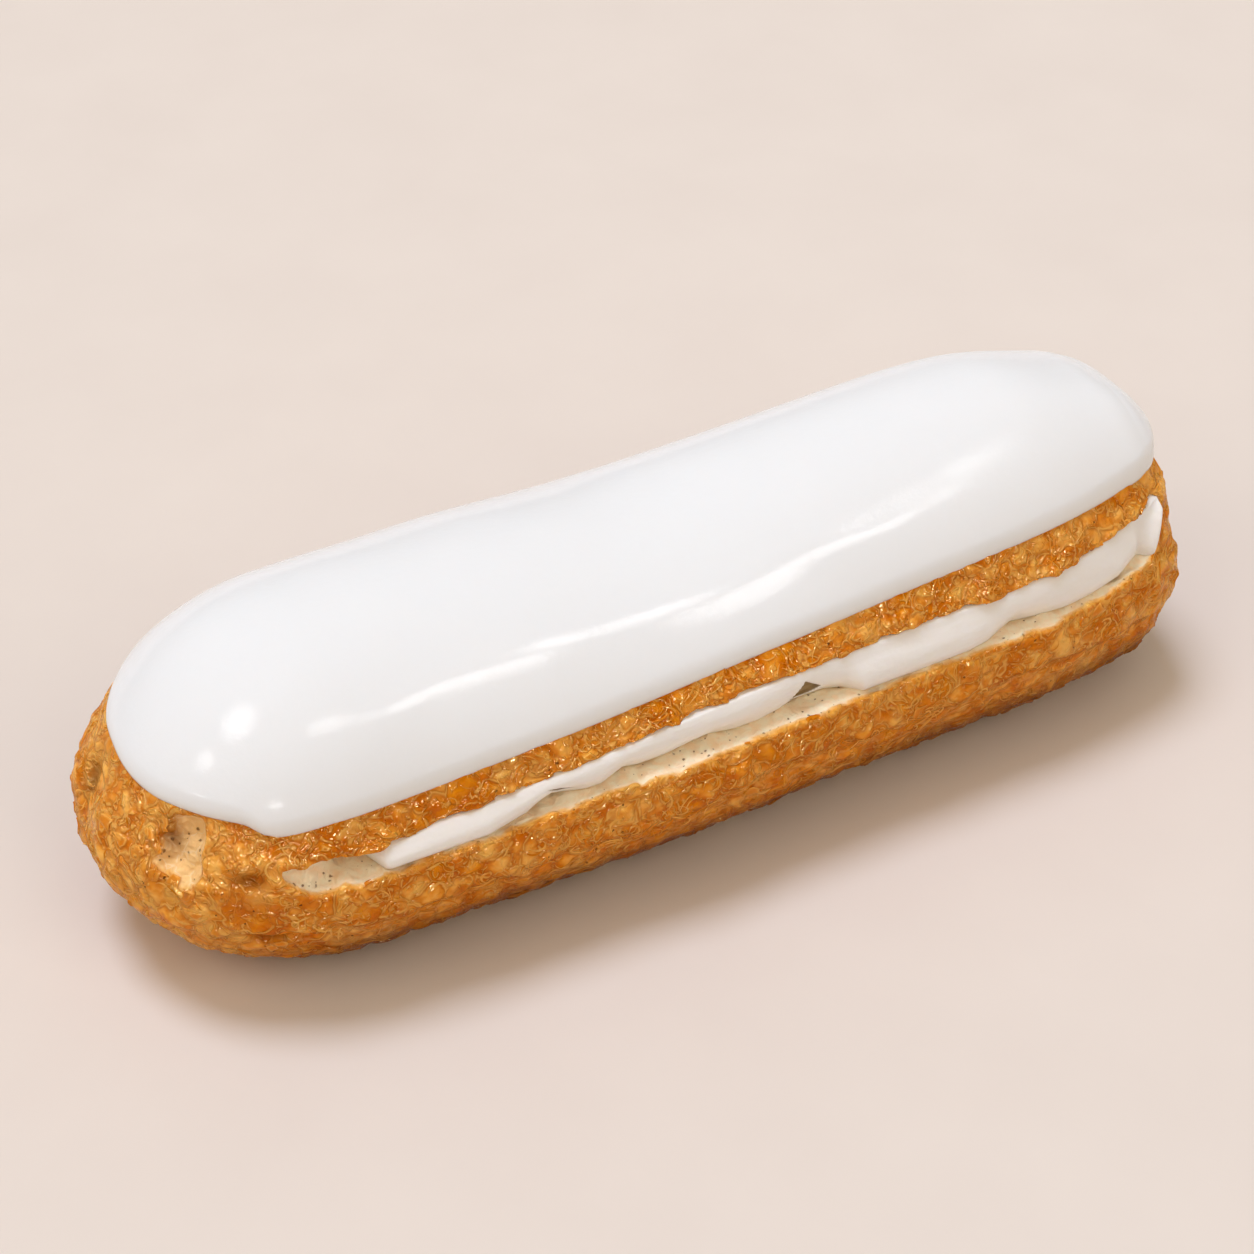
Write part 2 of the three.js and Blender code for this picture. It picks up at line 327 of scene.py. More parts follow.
def icing_edge(x, y):
    radius = np.where(x < LOBE_PLACE[0], LOBE_STEEP_RADIUS, LOBE_RADIUS)
    away = np.hypot(x - LOBE_PLACE[0], y - LOBE_PLACE[1]) / radius
    lift = LEFT_LIFT * smoothstep(-y, 6, 11) * smoothstep(-x, 53.0, 55.0) * (1 - smoothstep(-x, 59, 63))
    return along(ICING_EDGE_HEIGHTS, x) - LOBE_DROP * np.exp(-away * away) + lift


def outward(x, y, z):
    """Direction in which the bun's skin grows, away from the line along its middle."""
    away = np.stack([x - np.clip(x, LEFT_END, RIGHT_END), y - bow(x), z - WIDEST_HEIGHT], -1)
    return away / np.maximum(np.linalg.norm(away, axis=-1, keepdims=True), 1e-6)


def full_outline(x, y, z):
    """Below 1 inside the bun's full outline and above 1 outside it."""
    upper = z > WIDEST_HEIGHT
    power = np.where(upper, UPPER_ROUNDNESS, LOWER_ROUNDNESS)
    rise = np.where(upper, along(HEIGHTS, x) - WIDEST_HEIGHT, WIDEST_HEIGHT + FLATTENING)
    side = np.abs(y - bow(x)) / (along(WIDTHS, x) / 2)
    section = (side**power + (np.abs(z - WIDEST_HEIGHT) / rise) ** power) ** (1 / power)
    ends = end_roundness(x)
    return (section**ends + past_end(x) ** ends) ** (1 / ends)


def crease_height(x):
    return along(CREASE_HEIGHTS, x) + 0.6 * np.sin(x / 5)


def mark(x, y, z, centre, radii, depth=1.0, power=2):
    """A depth that is full at a centre and fades out past the radii."""
    away = np.sqrt(sum(((v - c) / r) ** 2 for v, c, r in zip((x, y, z), centre, radii)))
    return depth * np.exp(-(away**power))


def plain_depth(x, y, z):
    """How deep the crust lies inside the full outline, without its small relief."""
    below = icing_edge(x, y) - z
    depth = UNDER_ICING_DEPTH - (UNDER_ICING_DEPTH - LID_DEPTH) * smoothstep(below, -3, 0.5)
    depth = depth - LID_DEPTH * smoothstep(below, 2, 8)
    upright = smoothstep(z, 0, 4)
    crease = crease_height(x)
    depth = depth + LOWER_BAND_DEPTH * upright * (1 - smoothstep(z, crease - 1.5, crease + 0.5))
    at_right = smoothstep(x, 54, 62)
    curl = RIGHT_CURL * smoothstep(z, 17, 22) * (1 - smoothstep(z, 24, 26.5))
    foot = RIGHT_FOOT * smoothstep(z, 9, 13) * (1 - smoothstep(z, 17, 20))
    depth = depth + at_right * (curl + foot)
    depth = depth - BACK_FULLNESS * smoothstep(-x, 54, 61) * smoothstep(y, 1, 7) * smoothstep(z, 12, 18)
    return depth + mark(x, y, z, *DENT)


def crust_depth(x, y, z):
    """How deep the crust lies inside the full outline."""
    below = icing_edge(x, y) - z
    shown = smoothstep(z, 0, 4) * smoothstep(below, 0.5, 3)
    bend = 4 * lumps(x, y, z, 8)
    bent = (x + bend, y + bend, z + bend)
    relief = lumps(*bent, 3.1) + 0.6 * lumps(*bent, 1.7)
    fine = 0.2 * grain(x, y, z, 1.8, 11) + 0.1 * grain(x, y, z, 0.9, 12)
    calm = 1 - 0.5 * (1 - smoothstep(z, 9, 12))
    marks = sum(mark(x, y, z, *shape) for shape in (FOLD, CRACK, SLOT, RIDGE))
    return plain_depth(x, y, z) + marks - shown * calm * (CRUST_RELIEF * relief + fine)


def slit_heights(x):
    """Heights of the base's rim and of the lid's edge, which near each other at both ends."""
    low = along(BASE_RIM_HEIGHTS, x)
    high = along(LID_EDGE_HEIGHTS, x)
    opened = smoothstep(x, SLIT_START, SLIT_START + SLIT_TAPER)
    opened = SLIT_END_OPENING + (1 - SLIT_END_OPENING) * opened
    opened = opened * (1 - smoothstep(x, RIM_RISE_START, RIM_RISE_END))
    return high - (high - low) * opened, high


def inside_outline(a, b, corners):
    """How far a place lies inside a closed outline, or below zero how far outside it."""
    corners = np.array(corners)
    nearest = np.full(a.shape, np.inf)
    inside = np.zeros(a.shape, bool)
    for (a0, b0), (a1, b1) in zip(corners, np.roll(corners, -1, axis=0)):
        wide, tall = a1 - a0, b1 - b0
        share = np.clip(((a - a0) * wide + (b - b0) * tall) / (wide**2 + tall**2), 0, 1)
        nearest = np.minimum(nearest, np.hypot(a - a0 - share * wide, b - b0 - share * tall))
        inside ^= ((b0 > b) != (b1 > b)) & (a < a0 + (b - b0) / tall * wide)
    return np.where(inside, nearest, -nearest)


def tear_directions():
    """Rightwards and upwards along the crust at the torn place, and out of it."""
    out = outward(*np.array(TEAR_CENTRE))
    across = unit(np.cross([0, 0, 1], out))
    return across, np.cross(out, across), out


def inside_tear(x, y, z):
    """How far a place lies inside the torn outline, or below zero how far outside it."""
    across, rise, out = tear_directions()
    away = np.stack([x, y, z], -1) - np.array(TEAR_CENTRE)
    inside = inside_outline(away @ across, away @ rise, TEAR_OUTLINE)
    return np.where(np.abs(away @ out) < 7, inside, -9.0)


def slit_reach(x):
    """How deep the slit goes: shallow at its left end, where crumb shows in it."""
    return 1.2 + 0.2 * np.maximum(x + 50, 0) ** 2


def outline_depth(x, y, z):
    """Distance inside the bun's full outline, nearly, at single points."""
    value = full_outline(x, y, z)
    tiny = 0.01
    slope = [full_outline(x + tiny, y, z), full_outline(x, y + tiny, z), full_outline(x, y, z + tiny)]
    slope = np.sqrt(sum(((v - value) / tiny) ** 2 for v in slope))
    return (1 - value) / np.maximum(slope, 0.01)


def smooth_max(a, b, width):
    """The larger of two distances, with the corner between them rounded over a width."""
    near = np.maximum(width - np.abs(a - b), 0) / width
    return np.maximum(a, b) + near * near * width / 4


# Choux


def surface_net(field, origin, step):
    """Points and quads where a sampled field changes sign, one point for each cell it passes."""
    inside = field < 0
    shape = np.array(field.shape) - 1
    corners = [(a, b, c) for a in (0, 1) for b in (0, 1) for c in (0, 1)]
    count = np.zeros(shape, np.uint8)
    for a, b, c in corners:
        count += inside[a : a + shape[0], b : b + shape[1], c : c + shape[2]]
    active = (count > 0) & (count < 8)
    cells = np.argwhere(active)
    index = np.full(active.shape, -1, np.int32)
    index[active] = np.arange(len(cells))
    total = np.zeros((len(cells), 3))
    hits = np.zeros((len(cells), 1))
    for axis in range(3):
        unit = np.eye(3, dtype=int)[axis]
        for corner in corners:
            if corner[axis]:
                continue
            near = cells + corner
            far = near + unit
            v0 = field[near[:, 0], near[:, 1], near[:, 2]]
            v1 = field[far[:, 0], far[:, 1], far[:, 2]]
            crossed = (v0 < 0) != (v1 < 0)
            t = v0[crossed] / (v0[crossed] - v1[crossed])
            total[crossed] += np.array(corner) + t[:, None] * unit
            hits[crossed] += 1
    points = np.array(origin) + (cells + total / hits) * step
    quads = []
    for axis in range(3):
        b, c = (axis + 1) % 3, (axis + 2) % 3
        lower = [slice(1, -1)] * 3
        upper = [slice(1, -1)] * 3
        lower[axis] = slice(0, -1)
        upper[axis] = slice(1, None)
        first, second = inside[tuple(lower)], inside[tuple(upper)]
        nodes = np.argwhere(first != second)
        if not len(nodes):
            continue
        start = np.ones(3, int)
        start[axis] = 0
        leaving = first[nodes[:, 0], nodes[:, 1], nodes[:, 2]]
        nodes = nodes + start
        ring = []
        for db, dc in ((0, 0), (1, 0), (1, 1), (0, 1)):
            cell = nodes.copy()
            cell[:, b] -= db
            cell[:, c] -= dc
            ring.append(index[cell[:, 0], cell[:, 1], cell[:, 2]])
        ring = np.stack(ring, 1)
        ring[~leaving] = ring[~leaving][:, ::-1]
        quads.append(ring)
    return points, np.concatenate(quads)


def choux_field(x, y, z):
    """Distance outside the choux, below zero inside it, on open grids of x, y and z."""
    outline = full_outline(x, y, z)
    slope = np.sqrt(sum(g * g for g in np.gradient(outline, NET_STEP)))
    field = ((outline - 1) / np.maximum(slope, 0.01)).astype(np.float32)
    band = np.abs(field) < 4
    shape = field.shape
    px, py, pz = (np.broadcast_to(v, shape)[band] for v in (x, y, z))
    skin = field[band] + crust_depth(px, py, pz)
    low, high = slit_heights(px)
    rough = 0.42 * grain(px, py, pz, 2.0, 21) + 0.22 * grain(px, py, pz, 0.9, 22)
    ragged = 0.35 * grain(px, py, pz, 2.1, 23)
    slab = np.minimum(np.minimum(pz - low - rough, high - ragged - pz), px - SLIT_START)
    slab = np.minimum(np.minimum(slab, SLIT_END - px), slit_reach(px) + rough + skin)
    skin = smooth_max(skin, slab, 0.45)
    near = (px < -50) & (py < -3)
    near[near] = inside_tear(px[near], py[near], pz[near]) > -2
    tx, ty, tz = px[near], py[near], pz[near]
    torn = inside_tear(tx, ty, tz) + 0.3 * grain(tx, ty, tz, 1.3, 31)
    floor = TEAR_DEPTH * smoothstep(torn, -0.2, 1.4) + 0.35 * grain(tx, ty, tz, 1.5, 32)
    skin[near] = smooth_max(skin[near], np.minimum(torn, floor + skin[near]), 0.2)
    field[band] = skin
    low, high = slit_heights(x)
    inner = np.minimum(np.minimum(z - low, high - z), np.minimum(x - SLIT_START, SLIT_END - x))
    inner = np.minimum(inner.astype(np.float32), slit_reach(x).astype(np.float32) + field)
    field[~band] = np.maximum(field, inner)[~band]
    return np.maximum(field, -z)


def write_mesh(name, points, faces):
    """A mesh object from points in millimetres and quads, where a triangle repeats its last point."""
    triangle = faces[:, 2] == faces[:, 3]
    size = np.where(triangle, 3, 4)
    used = np.ones(faces.shape, bool)
    used[triangle, 3] = False
    corners = faces[used]
    mesh = bpy.data.meshes.new(name)
    mesh.vertices.add(len(points))
    mesh.vertices.foreach_set("co", (np.asarray(points) * MM).astype(np.float32).ravel())
    mesh.loops.add(len(corners))
    mesh.loops.foreach_set("vertex_index", corners.astype(np.int32))
    mesh.polygons.add(len(faces))
    mesh.polygons.foreach_set("loop_start", (np.cumsum(size) - size).astype(np.int32))
    mesh.polygons.foreach_set("use_smooth", np.ones(len(faces), bool))
    mesh.update(calc_edges=True)
    mesh.validate()
    thing = bpy.data.objects.new(name, mesh)
    bpy.context.scene.collection.objects.link(thing)
    return thing


def store(thing, name, values):
    """Keeps a number, or three of them, at each point of a mesh."""
    values = np.asarray(values, np.float32)
    vector = values.ndim == 2
    attribute = thing.data.attributes.new(name, "FLOAT_VECTOR" if vector else "FLOAT", "POINT")
    attribute.data.foreach_set("vector" if vector else "value", values.ravel())


def points_of(thing):
    points = np.empty(len(thing.data.vertices) * 3, np.float32)
    thing.data.vertices.foreach_get("co", points)
    return points.reshape(-1, 3).astype(float) / MM


def apply_modifiers(thing):
    """Replaces the mesh by what its modifiers make of it."""
    depsgraph = bpy.context.evaluated_depsgraph_get()
    mesh = bpy.data.meshes.new_from_object(thing.evaluated_get(depsgraph))
    thing.modifiers.clear()
    thing.data = mesh


def weld(thing, distance):
    modifier = thing.modifiers.new("weld", "WELD")
    modifier.merge_threshold = distance * MM
    apply_modifiers(thing)


def thin_hidden(thing, hidden, share):
    """Takes triangles away where the mesh is hidden."""
    group = thing.vertex_groups.new(name="hidden")
    for weight in (0.0, 1.0):
        chosen = np.flatnonzero(hidden == (weight > 0))
        if len(chosen):
            group.add(chosen.tolist(), weight, "REPLACE")
    decimate = thing.modifiers.new("thin", "DECIMATE")
    decimate.ratio = share
    decimate.vertex_group = "hidden"
    decimate.vertex_group_factor = 1000.0
    apply_modifiers(thing)
    thing.vertex_groups.clear()


def hidden_places(points):
    """True under the icing, inside the slit behind the filling's face, and on the underside."""
    x, y, z = points.T
    inside = outline_depth(x, y, z)
    under_icing = z > icing_edge(x, y) + 1.1
    underside = (z < 0.2) & (full_outline(x, y, z) < 0.97)
    return under_icing | (inside > DEEPEST_SHOWN) | underside


def painted_foot_shade(x, z):
    """How much painted shade darkens the crust near its foot, where it turns under, less at the left end,
    which faces the light.
    """
    return (1 - smoothstep(z, 5.5, 12)) * (0.35 + 0.65 * smoothstep(x, -60, -45))


def describe_crust(thing):
    """Stores at each point what the material and the relief read, such as its rest place."""
    points = points_of(thing)
    x, y, z = points.T
    store(thing, "rest", points)
    under = outline_depth(x, y, z) - crust_depth(x, y, z)
    off_floor = smoothstep(z, 0.3, 1.5)
    store(thing, "crumb", smoothstep(under, 0.3, 0.75) * off_floor)
    crease = crease_height(x)
    store(thing, "band", (1 - smoothstep(z, crease - 1.4, crease + 0.4)) * smoothstep(z, 0.1, 1))
    # Painted shade along the crease above the recessed lower band
    store(thing, "crease", np.exp(-(((z - crease + 0.3) / 0.55) ** 2)))
    store(thing, "underside", 1 - smoothstep(z, 0.05, 0.8))
    low, high = slit_heights(x)
    below, above = low - z, z - high
    rim = smoothstep(below, 0.75, 0.2) * smoothstep(below, -0.9, -0.2)
    rim = rim + 0.5 * smoothstep(above, 0.6, 0.1) * (above > 0)
    store(thing, "rim", rim * smoothstep(x, SLIT_START - 1, SLIT_START + 2))
    # Painted shade near the foot, where the crust turns under towards the floor
    store(thing, "shade", painted_foot_shade(x, z))
    store(thing, "toasted", smoothstep(inside_tear(x, y, z), -1.2, -0.4))
    # Painted shade in hollows: the fold, the slot, the crack and the torn place's deeper side
    hollows = sum(mark(x, y, z, *place) for place in (FOLD[:2], SLOT[:2], CRACK[:2], TEAR_SHADE))
    store(thing, "hollow", np.minimum(hollows, 1))
    store(thing, "plate", mark(x, y, z, *SMOOTH_PLATE, power=4))


def make_choux():
    half = BUN_LENGTH / 2 + 1.5
    x = np.arange(-half, half, NET_STEP)[:, None, None]
    y = np.arange(-NET_HALF_WIDTH, NET_HALF_WIDTH, NET_STEP)[None, :, None]
    z = (np.arange(*NET_LEVELS) * NET_STEP)[None, None, :]
    origin = (x.min(), y.min(), z.min())
    points, quads = surface_net(choux_field(x, y, z), origin, NET_STEP)
    choux = write_mesh("choux_crust", points, quads)
    hidden = hidden_places(points_of(choux))
    thin_hidden(choux, hidden, CHOUX_TRIANGLES / (2 * len(quads)))
    describe_crust(choux)
    return choux


# Icing and cream: rings of points from a middle line on top to one underneath


def quads_between(index):
    """Quads from each ring of points to the next, from the numbers of the points."""
    following = np.roll(index, -1, axis=1)
    return np.stack([index[:-1], index[1:], following[1:], following[:-1]], -1).reshape(-1, 4)


def ring_mesh(name, rings):
    """A closed mesh from rings of points, whose first and last ring lie on a middle line."""
    rings = np.asarray(rings)
    index = np.arange(rings[..., 0].size).reshape(rings.shape[:2])
    thing = write_mesh(name, rings.reshape(-1, 3), quads_between(index))
    weld(thing, RING_WELD)
    return thing


def stations(tips, steps, end_steps):
    """X and side of the places round an outline, from its left tip along the front and back."""
    left_tip, left, right, right_tip = tips
    turn = np.linspace(0, math.pi / 2, end_steps + 1)
    left_x = left - np.cos(turn) ** (2 / LEFT_END_ROUNDNESS) * (left - left_tip)
    right_x = right + np.sin(turn) ** (2 / RIGHT_END_ROUNDNESS) * (right_tip - right)
    middle = np.linspace(left, right, steps + 1)[1:-1]
    front = np.concatenate([left_x, middle, right_x])
    x = np.concatenate([front, front[-2:0:-1]])
    side = np.concatenate([-np.ones(len(front)), np.ones(len(front) - 2)])
    side[0] = side[len(front) - 1] = 0
    return x, side


def icing_tip(side):
    tip = side * BUN_LENGTH / 2
    roundness = LEFT_END_ROUNDNESS if side < 0 else RIGHT_END_ROUNDNESS
    end = LEFT_END if side < 0 else RIGHT_END
    length = LEFT_END_LENGTH if side < 0 else RIGHT_END_LENGTH
    level = icing_edge(np.array(tip), np.array(0.0))
    rise = (level - WIDEST_HEIGHT) / (along(HEIGHTS, np.array(tip)) - WIDEST_HEIGHT)
    return float(end + side * length * (1 - rise**roundness) ** (1 / roundness))


def icing_fold(x, y):
    """Height of the soft fold that runs along the icing where its top turns down to the front."""
    away = (y - np.interp(x, ICING_FOLD_PLACES, ICING_FOLD_Y)) / ICING_FOLD_WIDTH
    return ICING_FOLD_RISE * np.exp(-away * away) * smoothstep(x, -44, -36) * (1 - smoothstep(x, 25, 33))


def make_icing():
    tips = (icing_tip(-1), LEFT_END - 2, RIGHT_END - 2, icing_tip(1))
    x, side = stations(tips, 190, 46)
    edge_y = half_width_at(x, along(ICING_EDGE_HEIGHTS, x))
    level = icing_edge(x, bow(x) + side * edge_y)
    edge = np.stack([x, bow(x) + side * half_width_at(x, level)], -1)
    middle_x = np.clip(x, tips[1], tips[2])
    middle = np.stack([middle_x, bow(middle_x)], -1)
    rings = []
    shares = 1 - (1 - np.linspace(0, 1, 90)) ** 1.7
    for above in (True, False):
        for share in shares if above else shares[::-6]:
            flat = middle + (edge - middle) * share
            px, py = flat.T
            pz = top_height(px, py)
            depth = plain_depth(px, py, pz)
            clear = icing_edge(px, py)
            from_edge = np.clip((pz - clear) / EDGE_BEAD, 0, 1)
            bead = np.sqrt(np.maximum(1 - (1 - from_edge) ** 2, 0))
            inner = smoothstep(from_edge, 0, 1)
            swell = ICING_SWELL * smoothstep(px, 46, 62) * smoothstep(bow(px) - py, -1, 7) * inner
            wave = ICING_WAVE * lumps(px, py, pz, 6.0) * inner
            thickness = ICING_SUNK
            if above:
                thickness = ICING_SUNK + (depth - ICING_SUNK) * bead + swell + wave + icing_fold(px, py)
            place = np.stack([px, py, pz], -1)
            place += outward(px, py, pz) * (thickness - depth)[:, None]
            rings.append(place)
    return ring_mesh("icing_cap", rings)


def cream_inset(x, side):
    """How far the filling's lower edge lies inside the rim: as shown in front, alike behind."""
    front = np.interp(x, FRONT_INSET_PLACES, FRONT_INSETS)
    back = 2.2 + 0.9 * np.sin(x / 3.4 + 0.8) + 0.6 * np.sin(x / 7.3 + 2)
    return np.where(side < 0, front, np.where(side > 0, back, 1.2))


def cream_hollow(x, height, side):
    """How far a place lies inside the opening or the crease in the filling's front."""
    inside = np.maximum(inside_outline(x, height, OPENING), inside_outline(x, height, CREASE_UNDER_RIBBON))
    return np.where(side < 0, inside, -9.0)


def cream_bulge(x, down):
    """How far the filling stands out between its upper and lower edge."""
    ribbon_end = smoothstep(x - 0.8 * np.sin(math.pi * down), 54.9, 56.0)
    bulge = RIBBON_BULGE * (1 - ribbon_end) + DOLLOP_BULGE * ribbon_end
    return bulge * np.sin(math.pi * down) ** 0.8


def make_cream():
    tips = (CREAM_START, CREAM_START + CREAM_TAPER, CREAM_END - 3, CREAM_END)
    x, side = stations(tips, 330, 30)
    low, high = slit_heights(x)
    taper = np.clip((x - CREAM_START) / CREAM_TAPER, 0, 1) ** 0.5
    rim = half_width_at(x, low) * taper
    lid = np.minimum(half_width_at(x, high) * taper - 0.2, rim)
    inset = np.minimum(cream_inset(x, side), rim)
    middle_x = np.clip(x, tips[1], tips[2])
    rings = []
    face_steps = 44

    def ring(half, height, share=1.0):
        edge = np.stack([x, bow(x) + side * half, height], -1)
        middle = np.stack([middle_x, bow(middle_x), height], -1)
        return middle + (edge - middle) * share

    top = high - 0.05
    bottom = low + 0.1
    for share in np.linspace(0, 1, 12)[:-1]:
        rings.append(ring(lid - 0.8, top, share))
    for down in np.linspace(0, 1, face_steps + 1):
        upper = lid - LID_DEPTH
        lower = rim - inset
        half = upper + (lower - upper) * smoothstep(down, 0.1, 1.0)
        folds = 0.12 * np.sin(1.6 * math.pi * down + x / 5 + 1.5 * np.sin(x / 9))
        folds = folds * np.sin(math.pi * down)
        height = top + (bottom - top) * down
        hollow = OPENING_DEPTH * smoothstep(cream_hollow(x, height, side), -0.1, 0.3)
        rings.append(ring(np.maximum(half + cream_bulge(x, down) + folds - hollow, 0.0), height))
    for share in np.linspace(1, 0, 12)[1:]:
        rings.append(ring(np.maximum(rim - inset - 0.2, 0), bottom, share))
    cream = ring_mesh("cream_filling", rings)
    x, y, z = points_of(cream).T
    # Where the filling gets painted shade: its opening and the crease under the ribbon
    store(cream, "hollow", np.maximum(cream_hollow(x, z, y - bow(x)), -1))
    return cream


# Materials


class Graph:
    """Adds nodes to a tree and wires them as they are named."""

    def __init__(self, tree):
        self.tree = tree

    def node(self, kind, inputs=None, **settings):
        node = self.tree.nodes.new(kind)
        for name, value in settings.items():
            setattr(node, name, value)
        self.fill(node, inputs or {})
        return node

    def fill(self, node, inputs):
        for name, value in inputs.items():
            if isinstance(value, bpy.types.NodeSocket):
                self.tree.links.new(value, node.inputs[name])
            else:
                node.inputs[name].default_value = value

    def math(self, operation, *values):
        return self.node("ShaderNodeMath", dict(enumerate(values)), operation=operation).outputs[0]

    def plus(self, total, *others):
        for value in others:
            total = self.math("ADD", total, value)
        return total

    def times(self, product, *others):
        for value in others:
            product = self.math("MULTIPLY", product, value)
        return product

    def minus(self, first, second):
        return self.math("SUBTRACT", first, second)

    def vector(self, operation, *values, scale=None, output=0):
        inputs = dict(enumerate(values))
        if scale is not None:
            inputs["Scale"] = scale
        return self.node("ShaderNodeVectorMath", inputs, operation=operation).outputs[output]

    def parts(self, vector):
        return self.node("ShaderNodeSeparateXYZ", {"Vector": vector}).outputs

    def kept(self, name, kind="Fac"):
        """What is stored at the mesh's points under a name."""
        return self.node("ShaderNodeAttribute", attribute_name=name).outputs[kind]

    def step(self, value, low, high):
        """0 below low and 1 above high, or the other way round where low is the larger."""
        ends = (high, low, 1.0, 0.0) if low > high else (low, high, 0.0, 1.0)
        inputs = dict(zip(("From Min", "From Max", "To Min", "To Max"), ends), Value=value)
        return self.node("ShaderNodeMapRange", inputs, interpolation_type="SMOOTHSTEP").outputs["Result"]

    def noise(self, place, scale, detail=2.0, roughness=0.5, output="Fac", away=None):
        """Cloudy values at a place, or those at a place some way away from it."""
        if away:
            place = self.vector("ADD", place, away)
        inputs = {"Vector": place, "Scale": scale, "Detail": detail, "Roughness": roughness}
        return self.node("ShaderNodeTexNoise", inputs).outputs[output]

    def cells(self, place, scale, feature="F1"):
        return self.node("ShaderNodeTexVoronoi", {"Vector": place, "Scale": scale}, feature=feature).outputs

    def edges(self, place, scale):
        """Distance to the nearest border between cells."""
        return self.cells(place, scale, "DISTANCE_TO_EDGE")["Distance"]

    def mix(self, share, first, second):
        return self.node("ShaderNodeMix", {0: share, 6: first, 7: second}, data_type="RGBA").outputs[2]

    def tint(self, colour, share, strength, new):
        """Mixes a new colour into a colour by a share times a strength."""
        return self.mix(self.times(share, strength), colour, new)

    def shift(self, place, scale, amount, seed):
        """Moves a place about by smooth noise."""
        noise = self.noise(place, scale, 1.0, output="Color", away=(seed, 2 * seed, 3 * seed))
        centred = self.vector("SUBTRACT", noise, (0.5, 0.5, 0.5))
        return self.vector("ADD", place, self.vector("SCALE", centred, scale=amount))

    def bump(self, height, depth, strength):
        """Normals of a surface that rises by a depth in millimetres."""
        inputs = {"Height": height, "Distance": depth * MM, "Strength": strength}
        return self.node("ShaderNodeBump", inputs).outputs[0]


def crust_pattern(graph, place):
    """Lines, tones of the plates, distance to a plate's border, swell and relief of the crust."""
    bent = graph.shift(place, 0.42, 2.6, 3.0)
    tones = graph.parts(graph.cells(bent, 1 / PLATE)["Color"])
    border = graph.edges(bent, 1 / PLATE)
    small = graph.edges(graph.shift(place, 0.8, 1.5, 7.0), 1 / SMALL_PLATE)
    loops = graph.math("PINGPONG", graph.times(border, PLATE / LOOP_GAP), 0.5)
    flow = graph.noise(place, 0.42, 0.0, away=(0.0, 31.0, 9.0))
    wave = graph.math("PINGPONG", graph.times(flow, 6.0), 0.5)
    kept = graph.noise(place, 0.9, 1.0, away=(15.0, 0.0, 3.0))
    looped = graph.step(tones[0], 0.48, 0.52)
    gap = graph.step(kept, 0.44, 0.54)
    other = graph.step(kept, 0.44, 0.34)

    def ridges(width):
        """The lines and their flanks, 1 on a line's middle and 0 past its width as a share of the usual."""
        coarse = graph.times(graph.step(border, 0.075 * width, 0.0), gap)
        fine = graph.times(graph.step(small, 0.12 * width, 0.0), other)
        loop = graph.times(graph.step(loops, 0.2 * width, 0.0), graph.times(looped, gap))
        ring = graph.times(graph.step(wave, 0.14 * width, 0.0), other)
        return graph.math("MAXIMUM", graph.math("MAXIMUM", coarse, fine), graph.math("MAXIMUM", loop, ring))

    domes = graph.times(graph.step(border, 0.0, 0.4), 0.8)
    swell = graph.plus(domes, graph.times(tones[1], 0.45))
    small_domes = graph.times(graph.step(small, 0.0, 0.4), 0.45)
    relief = graph.plus(graph.times(ridges(1.8), 0.85), swell, small_domes)
    return ridges(1.0), tones, border, swell, relief


def crust_relief(thing):
    """Moves the crust's points in and out by the same pattern that colours it."""
    tree = bpy.data.node_groups.new("crust_relief", "GeometryNodeTree")
    for way in ("INPUT", "OUTPUT"):
        tree.interface.new_socket("Geometry", in_out=way, socket_type="NodeSocketGeometry")
    graph = Graph(tree)

    def kept(name, kind="FLOAT"):
        node = graph.node("GeometryNodeInputNamedAttribute", {"Name": name}, data_type=kind)
        return node.outputs["Attribute"]

    rest = kept("rest", "FLOAT_VECTOR")
    swell = crust_pattern(graph, rest)[3]
    left_end = graph.step(graph.parts(rest)[0], -46.0, -58.0)
    strong = graph.plus(RELIEF_STRENGTH, graph.times(left_end, -0.04))
    height = graph.plus(graph.times(swell, strong), graph.times(graph.noise(rest, 0.5), 0.4))
    calm = graph.minus(1.0, graph.math("MAXIMUM", kept("crumb"), kept("underside")))
    height = graph.times(graph.minus(height, 0.4), calm, MM)
    normal = graph.node("GeometryNodeInputNormal").outputs[0]
    start = graph.node("NodeGroupInput").outputs[0]
    inputs = {"Geometry": start, "Offset": graph.vector("SCALE", normal, scale=height)}
    moved = graph.node("GeometryNodeSetPosition", inputs).outputs[0]
    graph.node("NodeGroupOutput", {0: moved})
    modifier = thing.modifiers.new("relief", "NODES")
    modifier.node_group = tree
    apply_modifiers(thing)
    thing.data.shade_smooth()


# Threads: thin curled ridges of batter that stand up from the crust


def kept_values(thing, name):
    data = thing.data.attributes[name].data
    values = np.empty(len(data), np.float32)
    data.foreach_get("value", values)
    return values


def random_places(choux, count, rng):
    """Random places on the crust that shows, spread evenly by area."""
    mesh = choux.data
    mesh.calc_loop_triangles()
    corners = np.empty(len(mesh.loop_triangles) * 3, np.int32)
    mesh.loop_triangles.foreach_get("vertices", corners)
    corners = corners.reshape(-1, 3)
    plain = (kept_values(choux, "crumb") < 0.1) & (kept_values(choux, "underside") < 0.2)
    points = points_of(choux)
    plain &= points[:, 2] < icing_edge(points[:, 0], points[:, 1]) - 0.1
    corners = corners[plain[corners].all(axis=1)]
    a, b, c = (points[corners[:, i]] for i in range(3))
    area = np.linalg.norm(np.cross(b - a, c - a), axis=1)
    total = np.cumsum(area)
    chosen = np.searchsorted(total, rng.random(count) * total[-1])
    u, v = rng.random((2, count, 1))
    over = u + v > 1
    u, v = np.where(over, 1 - u, u), np.where(over, 1 - v, v)
    return a[chosen] + u * (b - a)[chosen] + v * (c - a)[chosen]


def ground_under(tree, points):
    """The nearest points of the crust."""
    return np.array([tree.find_nearest(p)[0] for p in points * MM]) / MM


